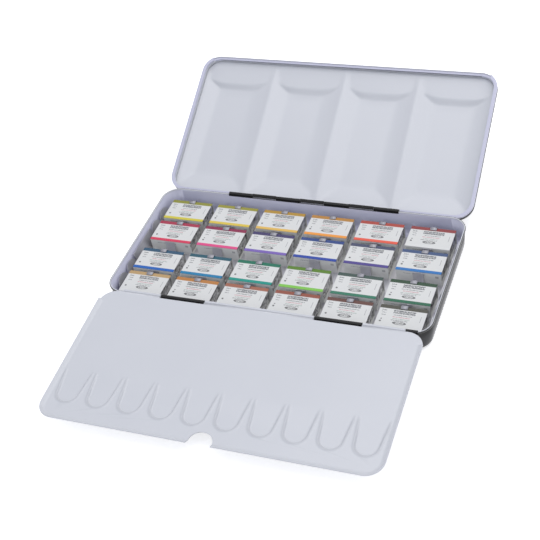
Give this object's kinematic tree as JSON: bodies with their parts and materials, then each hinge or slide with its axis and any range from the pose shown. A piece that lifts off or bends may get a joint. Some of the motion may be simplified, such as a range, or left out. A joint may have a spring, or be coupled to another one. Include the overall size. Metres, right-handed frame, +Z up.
{
  "type": "metal watercolour box",
  "caption": "Hinged black and white enamelled tin for wrapped full pans, with a lid of mixing wells, a fold-out palette tray and a lift-out spring rack",
  "frame": {"origin": "centre of the case's flat base, on the table", "axes": "+X along the box's width, +Y from the palette towards the lid, +Z up"},
  "size_m": [0.2214, 0.3193, 0.0632],
  "materials": {
    "black_lacquer": "satin stoving lacquer outside, white enamel inside",
    "white_enamel": "glossy white stoved enamel inside, black outside the lid",
    "steel_wire": "drawn wire",
    "tinplate": "bright rolled tinplate",
    "foil": "crinkled bright foil",
    "paint": "dry matt paint cake",
    "pan_plastic": "smooth moulded white plastic",
    "label_paper": "coated paper with printed colour stripes"
  },
  "bodies": {
    "case_body": {"case": "black_lacquer", "lid_hinge_pin": "steel_wire", "palette_hinge_pin": "steel_wire", "rack": "tinplate", "foil_wraps": "foil", "paint_cakes": "paint", "pan_1_1": "pan_plastic", "pan_1_2": "pan_plastic", "pan_1_3": "pan_plastic", "pan_1_4": "pan_plastic", "pan_1_5": "pan_plastic", "pan_1_6": "pan_plastic", "pan_2_1": "pan_plastic", "pan_2_2": "pan_plastic", "pan_2_3": "pan_plastic", "pan_2_4": "pan_plastic", "pan_2_5": "pan_plastic", "pan_2_6": "pan_plastic", "pan_3_1": "pan_plastic", "pan_3_2": "pan_plastic", "pan_3_3": "pan_plastic", "pan_3_4": "pan_plastic", "pan_3_5": "pan_plastic", "pan_3_6": "pan_plastic", "pan_4_1": "pan_plastic", "pan_4_2": "pan_plastic", "pan_4_3": "pan_plastic", "pan_4_4": "pan_plastic", "pan_4_5": "pan_plastic", "pan_4_6": "pan_plastic", "wrapper_1_1": "label_paper", "wrapper_1_2": "label_paper", "wrapper_1_3": "label_paper", "wrapper_1_4": "label_paper", "wrapper_1_5": "label_paper", "wrapper_1_6": "label_paper", "wrapper_2_1": "label_paper", "wrapper_2_2": "label_paper", "wrapper_2_3": "label_paper", "wrapper_2_4": "label_paper", "wrapper_2_5": "label_paper", "wrapper_2_6": "label_paper", "wrapper_3_1": "label_paper", "wrapper_3_2": "label_paper", "wrapper_3_3": "label_paper", "wrapper_3_4": "label_paper", "wrapper_3_5": "label_paper", "wrapper_3_6": "label_paper", "wrapper_4_1": "label_paper", "wrapper_4_2": "label_paper", "wrapper_4_3": "label_paper", "wrapper_4_4": "label_paper", "wrapper_4_5": "label_paper", "wrapper_4_6": "label_paper"},
    "lid_body": {"lid": "white_enamel"},
    "palette_body": {"palette": "white_enamel"}
  },
  "joints": [
    {"name": "lid_hinge", "type": "hinge", "parent": "case_body", "child": "lid_body", "pos_m": [0, 0.0556, 0.0166], "axis": [-1, 0, 0], "range_deg": [-154.7, 0]},
    {"name": "palette_hinge", "type": "hinge", "parent": "case_body", "child": "palette_body", "pos_m": [0, -0.0535, 0.0169], "axis": [1, 0, 0], "range_deg": [-184, 0]}
  ]
}
